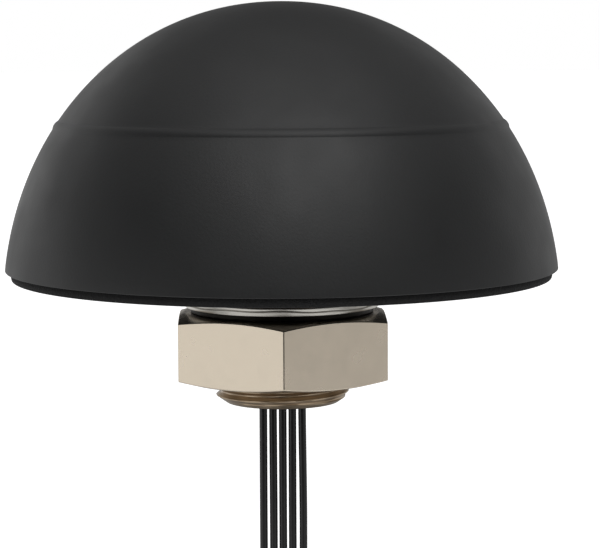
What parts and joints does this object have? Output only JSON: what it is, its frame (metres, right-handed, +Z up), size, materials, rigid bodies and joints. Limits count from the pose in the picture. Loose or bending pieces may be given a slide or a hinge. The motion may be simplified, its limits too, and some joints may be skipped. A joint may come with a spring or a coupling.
{
  "type": "dome antenna",
  "caption": "Hemispherical black dome antenna on a hollow threaded stud with washers, a hexagonal nut and coaxial leads that end in threaded plugs.",
  "frame": {"origin": "centre of the mounting face, the underside of the foam gasket, on the dome's axis", "axes": "+Z up along the dome's axis, away from the roof; the stud and the leads point to -Z; +X along the row of leads; one corner of the hexagonal nut points to -Y, turned 1.2 degrees towards +X"},
  "size_m": [0.123, 0.123, 0.2117],
  "materials": {
    "radome_abs": "fine moulded texture, satin black",
    "base_moulding": "moulded, black",
    "gasket_foam": "closed-cell foam, black",
    "seal_rubber": "moulded rubber, black",
    "nickel_nut": "nickel plated, satin",
    "nickel_stud": "nickel plated, rolled thread",
    "washer_steel": "stamped, zinc plated",
    "spring_steel": "phosphated spring steel, near black",
    "screw_steel": "zinc plated",
    "board_laminate": "solder-masked glass-epoxy",
    "plane_tinplate": "tin plated sheet",
    "patch_ceramic": "fired ceramic with a silvered face",
    "mast_nylon": "moulded, natural",
    "potting_resin": "cast resin, black",
    "lead_jacket": "extruded, black",
    "boot_sleeve": "heat-shrunk sleeve, black",
    "tie_nylon": "moulded nylon, black",
    "plug_gold": "gold plated",
    "plug_ptfe": "turned fluoropolymer, white"
  },
  "bodies": {
    "root": {"radome_shell": "radome_abs", "base_plate": "base_moulding", "shell_seal": "seal_rubber", "stud_seal": "seal_rubber", "mounting_gasket": "gasket_foam", "shell_screws": "screw_steel", "threaded_stud": "nickel_stud", "ground_plane": "plane_tinplate", "ground_plane_screws": "screw_steel", "cellular_element_left": "board_laminate", "cellular_element_right": "board_laminate", "wifi_element_front": "board_laminate", "wifi_element_rear": "board_laminate", "element_mast": "mast_nylon", "gnss_board": "board_laminate", "gnss_patch": "patch_ceramic", "gnss_shield_can": "plane_tinplate", "lead_gland": "potting_resin", "lead_guide": "mast_nylon", "lead_ferrules": "plug_gold", "lead_hank": "lead_jacket", "hank_tie": "tie_nylon", "plug_boots": "boot_sleeve", "plug_insulators": "plug_ptfe", "plug_pins": "plug_gold", "lead_1_inner": "lead_jacket", "lead_1": "lead_jacket", "plug_1_body": "plug_gold", "lead_2_inner": "lead_jacket", "lead_2": "lead_jacket", "plug_2_body": "plug_gold", "lead_3_inner": "lead_jacket", "lead_3": "lead_jacket", "plug_3_body": "plug_gold", "lead_4_inner": "lead_jacket", "lead_4": "lead_jacket", "plug_4_body": "plug_gold", "lead_5_inner": "lead_jacket", "lead_5": "lead_jacket", "plug_5_body": "plug_gold"},
    "washers": {"flat_washer": "washer_steel", "lock_washer": "spring_steel"},
    "mounting_nut": {"hex_nut": "nickel_nut"},
    "plug_nut_1": {"plug_1_nut": "plug_gold"},
    "plug_nut_2": {"plug_2_nut": "plug_gold"},
    "plug_nut_3": {"plug_3_nut": "plug_gold"},
    "plug_nut_4": {"plug_4_nut": "plug_gold"},
    "plug_nut_5": {"plug_5_nut": "plug_gold"}
  },
  "joints": [
    {"name": "washer_travel", "type": "slide", "parent": "root", "child": "washers", "axis": [0, 0, -1], "range_m": [-0.00422, 0.01752]},
    {"name": "nut_turn", "type": "hinge", "parent": "washers", "child": "mounting_nut", "pos_m": [0, 0, -0.0155], "axis": [0, 0, -1], "range_deg": [-756, 3150]},
    {"name": "plug_nut_1_turn", "type": "hinge", "parent": "root", "child": "plug_nut_1", "pos_m": [-0.0104, 0, -0.1466], "axis": [0, 0, 1], "continuous": true},
    {"name": "plug_nut_2_turn", "type": "hinge", "parent": "root", "child": "plug_nut_2", "pos_m": [-0.0052, 0.009, -0.1466], "axis": [0, 0, 1], "continuous": true},
    {"name": "plug_nut_3_turn", "type": "hinge", "parent": "root", "child": "plug_nut_3", "pos_m": [0, 0, -0.1466], "axis": [0, 0, 1], "continuous": true},
    {"name": "plug_nut_4_turn", "type": "hinge", "parent": "root", "child": "plug_nut_4", "pos_m": [0.0052, 0.009, -0.1466], "axis": [0, 0, 1], "continuous": true},
    {"name": "plug_nut_5_turn", "type": "hinge", "parent": "root", "child": "plug_nut_5", "pos_m": [0.0104, 0, -0.1466], "axis": [0, 0, 1], "continuous": true}
  ],
  "couplings": [
    {"joint": "washer_travel", "follows": "nut_turn", "m_per_rad": 0.00031831}
  ]
}
